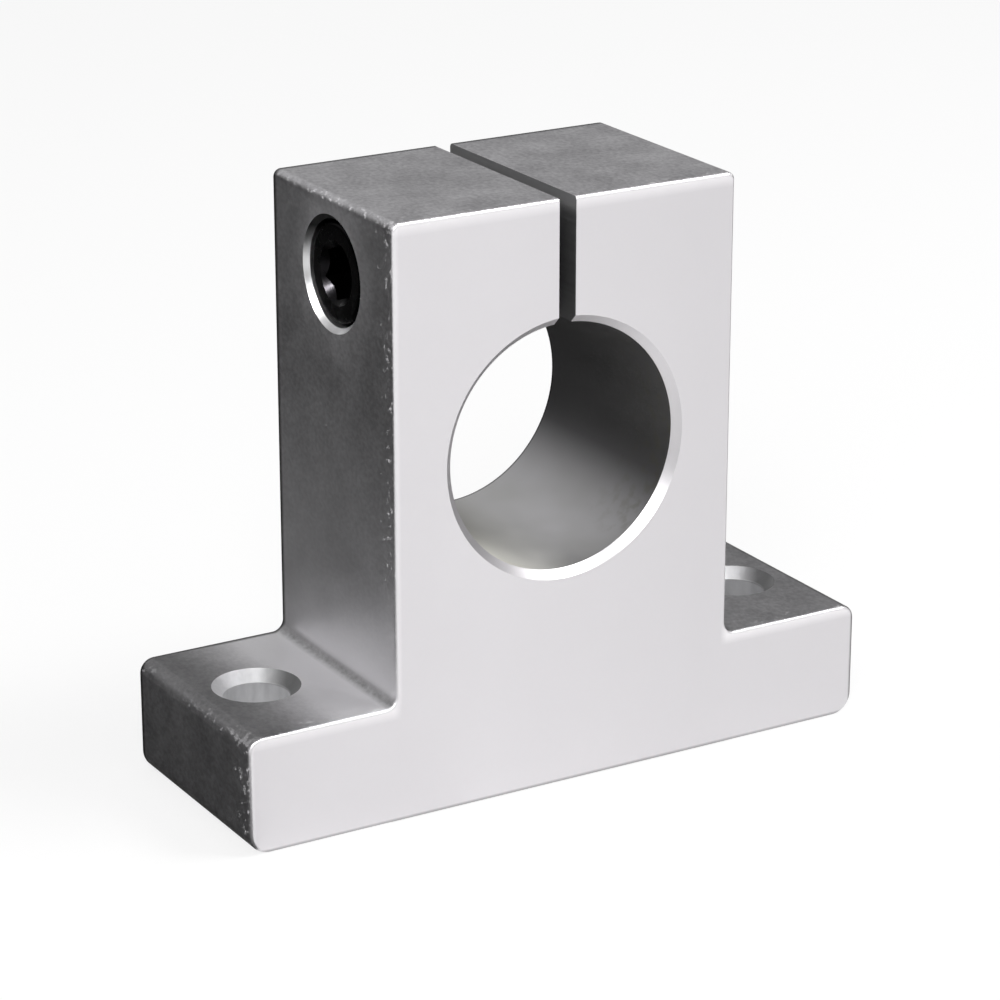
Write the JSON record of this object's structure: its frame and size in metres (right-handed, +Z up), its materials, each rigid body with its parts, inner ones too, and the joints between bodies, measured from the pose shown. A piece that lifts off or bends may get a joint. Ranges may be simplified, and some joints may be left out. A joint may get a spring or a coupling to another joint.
{
  "type": "shaft support block",
  "caption": "Split clamp block with a bolt-down foot that holds the end of a 25 mm shaft, closed across its slot by a recessed socket screw.",
  "frame": {"origin": "middle of the foot's underside, below the middle of the bore", "axes": "+Z up from the foot to the clamp's slot, +Y along the shaft, +X along the foot towards the tapped jaw"},
  "size_m": [0.07, 0.024, 0.06],
  "materials": {
    "block_aluminium": "clear anodised extrusion with a matt skin, sawn and milled front and back faces, bored seat",
    "screw_steel": "black oxide, lightly oiled"
  },
  "bodies": {
    "block": {"support_block": "block_aluminium"},
    "screw": {"clamp_screw": "screw_steel"}
  },
  "joints": [
    {"name": "clamp_screw_turn", "type": "hinge", "parent": "block", "child": "screw", "pos_m": [0, 0, 0.0523], "axis": [-1, 0, 0], "range_deg": [0, 450]}
  ]
}
